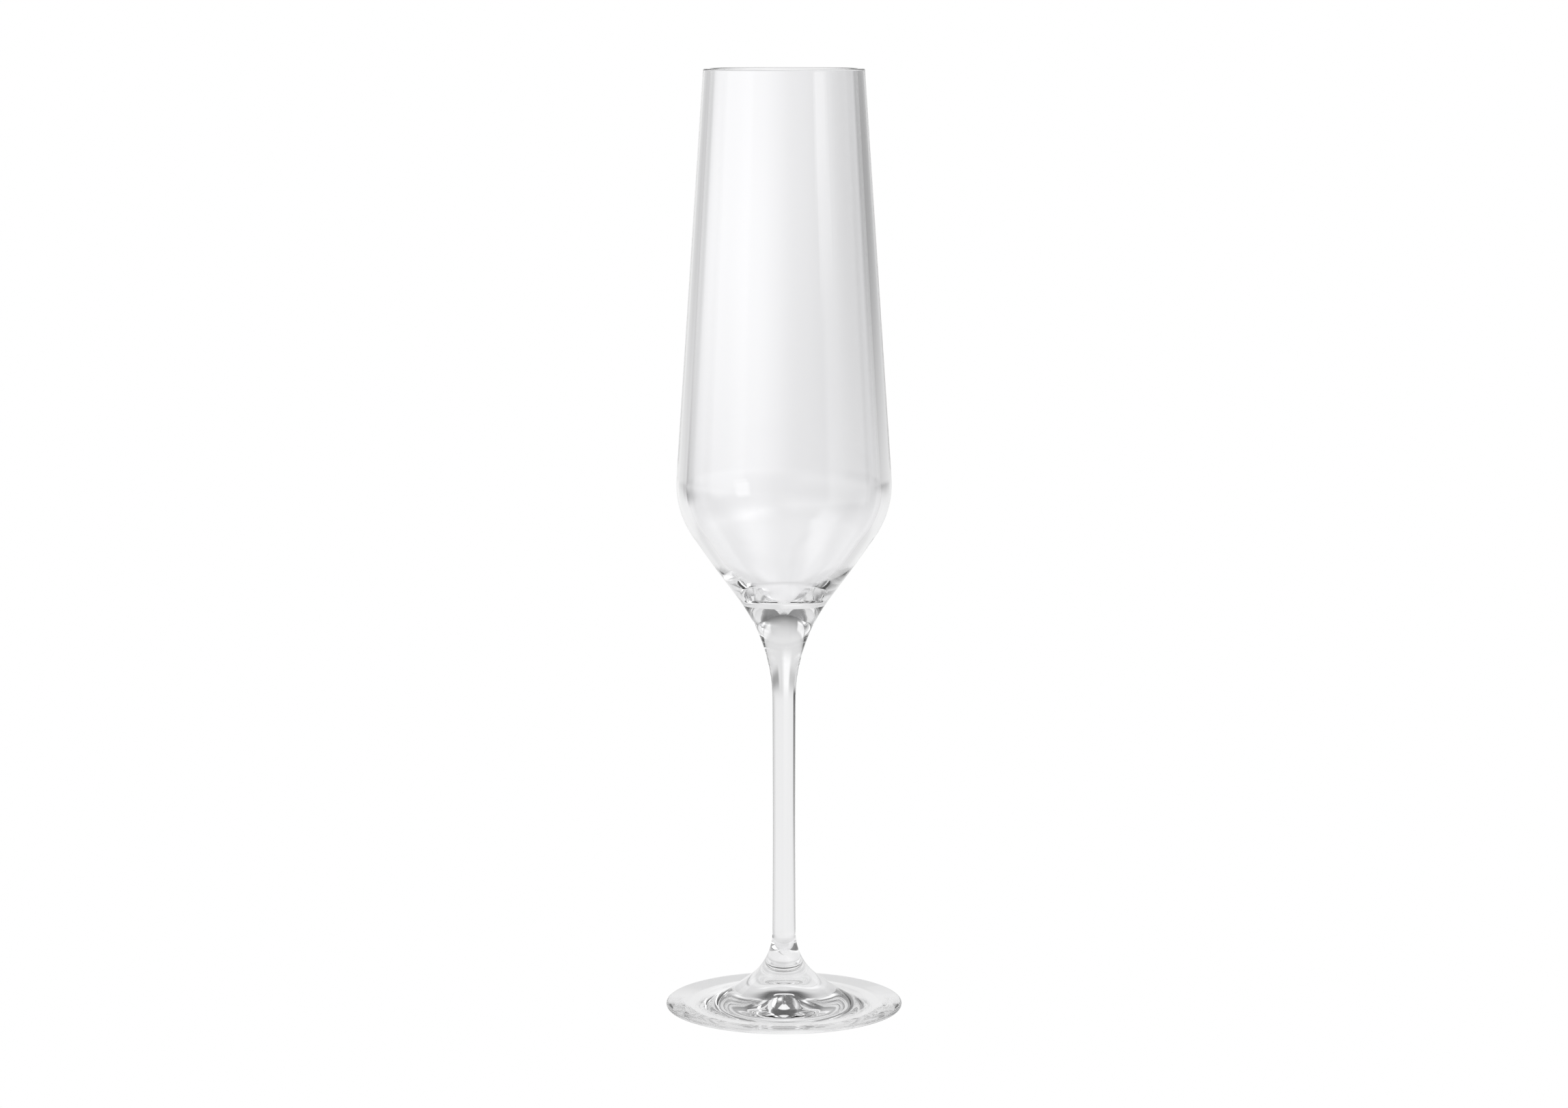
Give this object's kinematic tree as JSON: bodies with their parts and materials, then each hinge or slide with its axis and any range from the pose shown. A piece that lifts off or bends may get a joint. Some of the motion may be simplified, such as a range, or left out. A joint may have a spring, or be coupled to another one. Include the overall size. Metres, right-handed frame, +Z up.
{
  "type": "champagne flute",
  "caption": "Tall stemmed flute in clear glass for sparkling wine: a slender bowl that narrows to the rim, a thin stem and a round flared foot.",
  "frame": {"origin": "on the table, under the middle of the foot", "axes": "+Z up along the axis of the glass; the glass is a solid of revolution, so X and Y are free"},
  "size_m": [0.063, 0.063, 0.25],
  "materials": {
    "crystal": "clear colourless lead-free crystal, fire-polished smooth"
  },
  "bodies": {
    "root": {"bowl": "crystal", "stem": "crystal", "foot": "crystal"}
  },
  "joints": []
}
